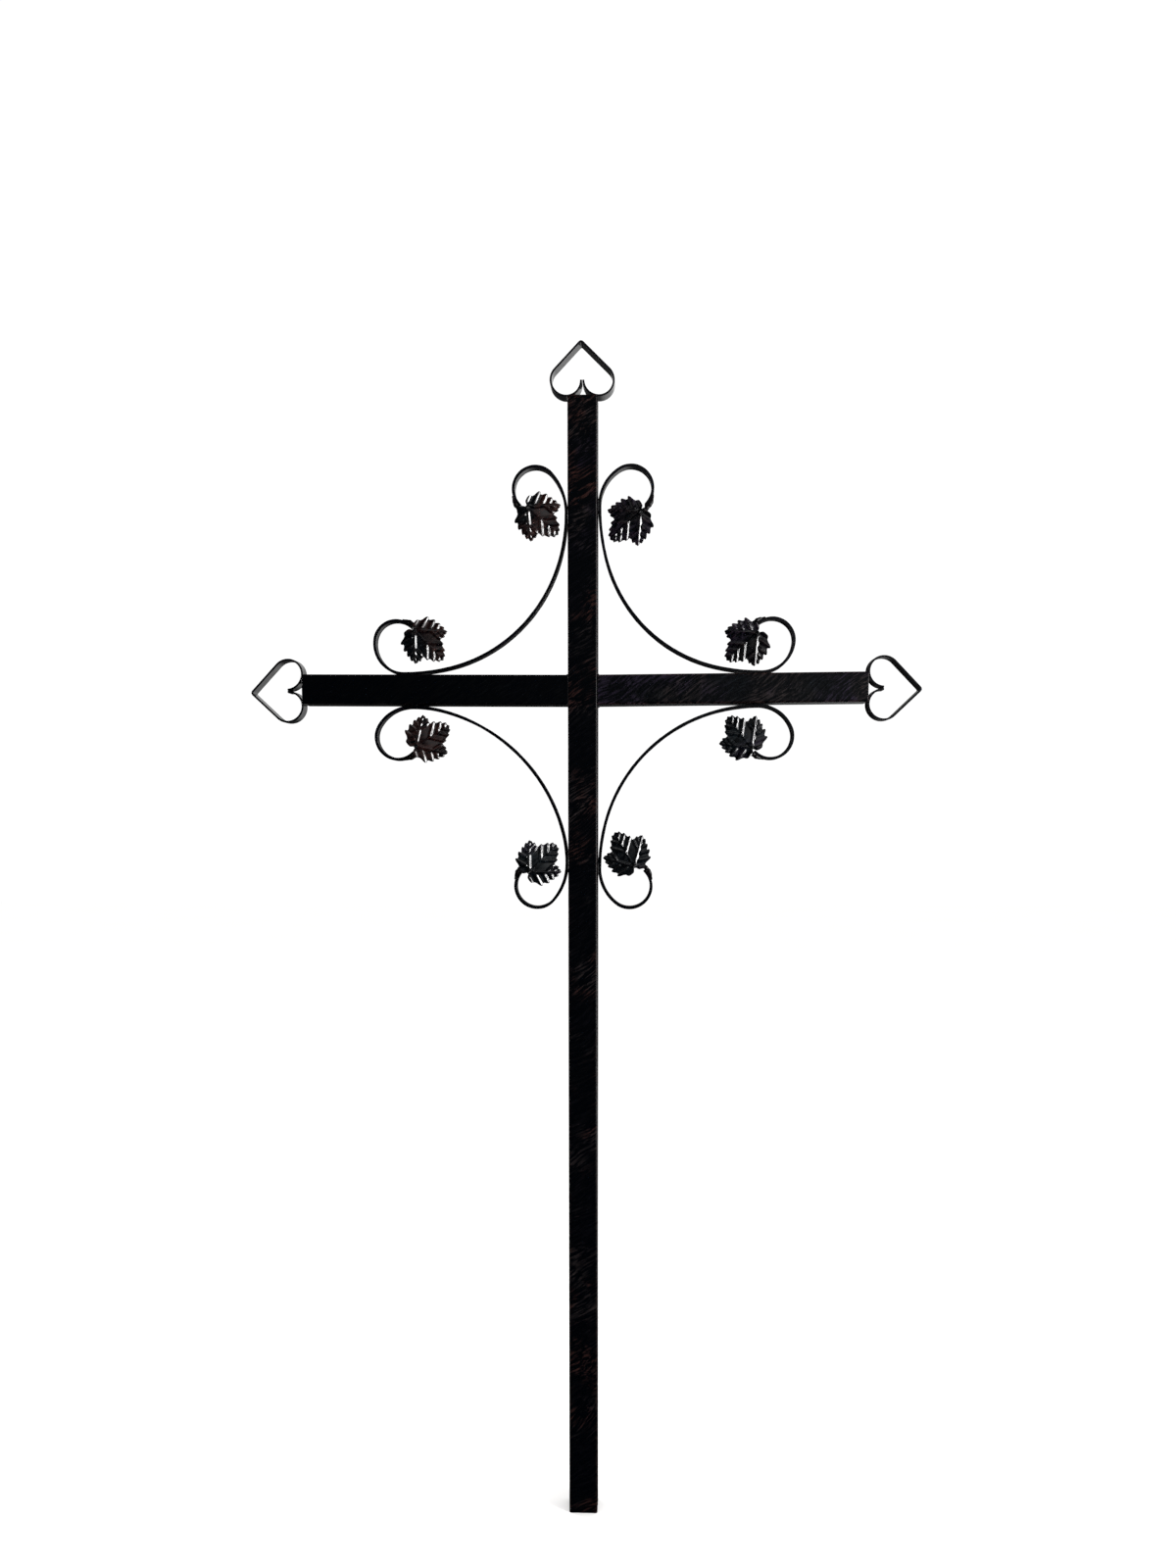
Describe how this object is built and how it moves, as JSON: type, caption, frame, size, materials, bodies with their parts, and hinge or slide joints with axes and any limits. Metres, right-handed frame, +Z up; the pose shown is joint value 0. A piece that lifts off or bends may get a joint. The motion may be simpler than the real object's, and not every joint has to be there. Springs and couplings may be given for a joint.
{
  "type": "wrought iron grave cross",
  "caption": "Latin cross of square tube with an open heart on each free end, a C-scroll in each inner corner and stamped vine leaves at the scroll ends.",
  "frame": {"origin": "middle of the underside of the foot, where the cross is cut off flat at the ground", "axes": "+Z up the upright, +X to the right when the front is faced, the front faces -Y"},
  "size_m": [0.6814, 0.03, 1.2152],
  "materials": {
    "bar_lacquer": "near-black satin gloss lacquer with red-brown brushed patina",
    "strip_lacquer": "near-black satin gloss lacquer",
    "leaf_lacquer": "near-black gloss lacquer with red-brown patina on the raised veins"
  },
  "bodies": {
    "root": {"upright": "bar_lacquer", "arm_left": "bar_lacquer", "arm_right": "bar_lacquer", "end_plate_foot": "bar_lacquer", "end_plate_top": "bar_lacquer", "end_plate_left": "bar_lacquer", "end_plate_right": "bar_lacquer", "heart_top": "strip_lacquer", "heart_left": "strip_lacquer", "heart_right": "strip_lacquer", "scroll_upper_left": "strip_lacquer", "scroll_upper_right": "strip_lacquer", "scroll_lower_left": "strip_lacquer", "scroll_lower_right": "strip_lacquer", "leaf_upper_left_high": "leaf_lacquer", "leaf_upper_left_side": "leaf_lacquer", "leaf_upper_right_high": "leaf_lacquer", "leaf_upper_right_side": "leaf_lacquer", "leaf_lower_left_low": "leaf_lacquer", "leaf_lower_left_side": "leaf_lacquer", "leaf_lower_right_low": "leaf_lacquer", "leaf_lower_right_side": "leaf_lacquer"}
  },
  "joints": []
}
